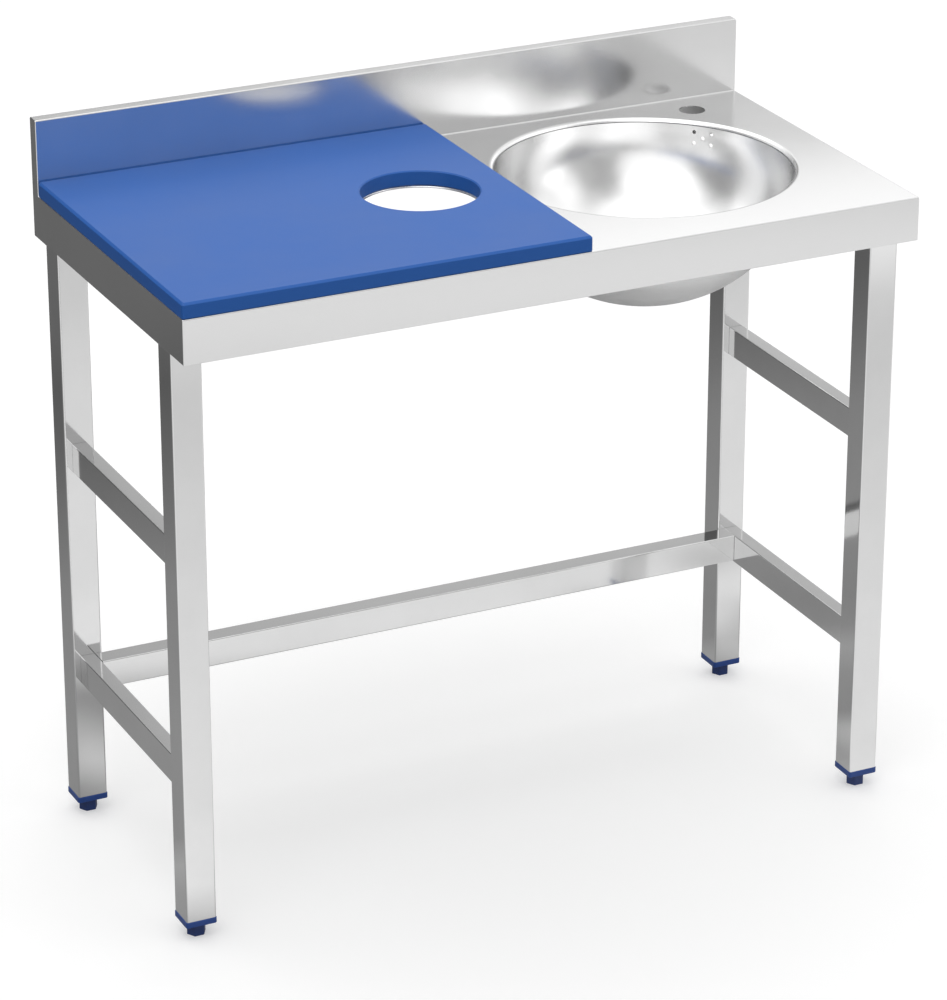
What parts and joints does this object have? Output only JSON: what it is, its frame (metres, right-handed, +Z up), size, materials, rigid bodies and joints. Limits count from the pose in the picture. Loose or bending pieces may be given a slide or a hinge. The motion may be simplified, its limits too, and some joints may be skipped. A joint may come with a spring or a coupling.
{
  "type": "sink table",
  "caption": "Stainless steel sink table with a round bowl, tap hole, splashback and a loose blue cutting board over a waste chute, on square tube legs with levelling feet.",
  "frame": {"origin": "on the floor under the middle of the worktop, with the levelling feet screwed fully in", "axes": "+X along the worktop towards the bowl's end, +Y towards the splashback, +Z up"},
  "size_m": [1, 0.5, 0.95],
  "materials": {
    "worktop_steel": "satin brushed stainless sheet",
    "bowl_steel": "fine satin spun stainless sheet",
    "tube_steel": "bright stainless tube, near mirror",
    "fixing_steel": "plain steel fixings",
    "board_plastic": "blue polyethylene, lightly grained",
    "foot_plastic": "dark blue moulded plastic"
  },
  "bodies": {
    "root": {"worktop": "worktop_steel", "sink_bowl": "bowl_steel", "worktop_channel_left": "worktop_steel", "worktop_channel_right": "worktop_steel", "side_rail_upper_left": "tube_steel", "side_rail_upper_right": "tube_steel", "side_rail_lower_left": "tube_steel", "side_rail_lower_right": "tube_steel", "rear_rail": "tube_steel", "leg_front_left": "tube_steel", "leg_bracket_front_left": "fixing_steel", "leg_nut_plate_front_left": "fixing_steel", "leg_bolt_upper_front_left": "fixing_steel", "leg_bolt_lower_front_left": "fixing_steel", "foot_insert_front_left": "foot_plastic", "stud_nut_front_left": "fixing_steel", "leg_rear_left": "tube_steel", "leg_bracket_rear_left": "fixing_steel", "leg_nut_plate_rear_left": "fixing_steel", "leg_bolt_upper_rear_left": "fixing_steel", "leg_bolt_lower_rear_left": "fixing_steel", "foot_insert_rear_left": "foot_plastic", "stud_nut_rear_left": "fixing_steel", "leg_front_right": "tube_steel", "leg_bracket_front_right": "fixing_steel", "leg_nut_plate_front_right": "fixing_steel", "leg_bolt_upper_front_right": "fixing_steel", "leg_bolt_lower_front_right": "fixing_steel", "foot_insert_front_right": "foot_plastic", "stud_nut_front_right": "fixing_steel", "leg_rear_right": "tube_steel", "leg_bracket_rear_right": "fixing_steel", "leg_nut_plate_rear_right": "fixing_steel", "leg_bolt_upper_rear_right": "fixing_steel", "leg_bolt_lower_rear_right": "fixing_steel", "foot_insert_rear_right": "foot_plastic", "stud_nut_rear_right": "fixing_steel"},
    "board": {"cutting_board": "board_plastic"},
    "foot_front_left": {"levelling_foot_front_left": "foot_plastic"},
    "foot_rear_left": {"levelling_foot_rear_left": "foot_plastic"},
    "foot_front_right": {"levelling_foot_front_right": "foot_plastic"},
    "foot_rear_right": {"levelling_foot_rear_right": "foot_plastic"}
  },
  "joints": [
    {"name": "board_lift", "type": "slide", "parent": "root", "child": "board", "axis": [0, 0, 1], "range_m": [0, 0.15]},
    {"name": "foot_front_left_screw", "type": "slide", "parent": "root", "child": "foot_front_left", "axis": [0, 0, -1], "range_m": [0, 0.025]},
    {"name": "foot_rear_left_screw", "type": "slide", "parent": "root", "child": "foot_rear_left", "axis": [0, 0, -1], "range_m": [0, 0.025]},
    {"name": "foot_front_right_screw", "type": "slide", "parent": "root", "child": "foot_front_right", "axis": [0, 0, -1], "range_m": [0, 0.025]},
    {"name": "foot_rear_right_screw", "type": "slide", "parent": "root", "child": "foot_rear_right", "axis": [0, 0, -1], "range_m": [0, 0.025]}
  ]
}
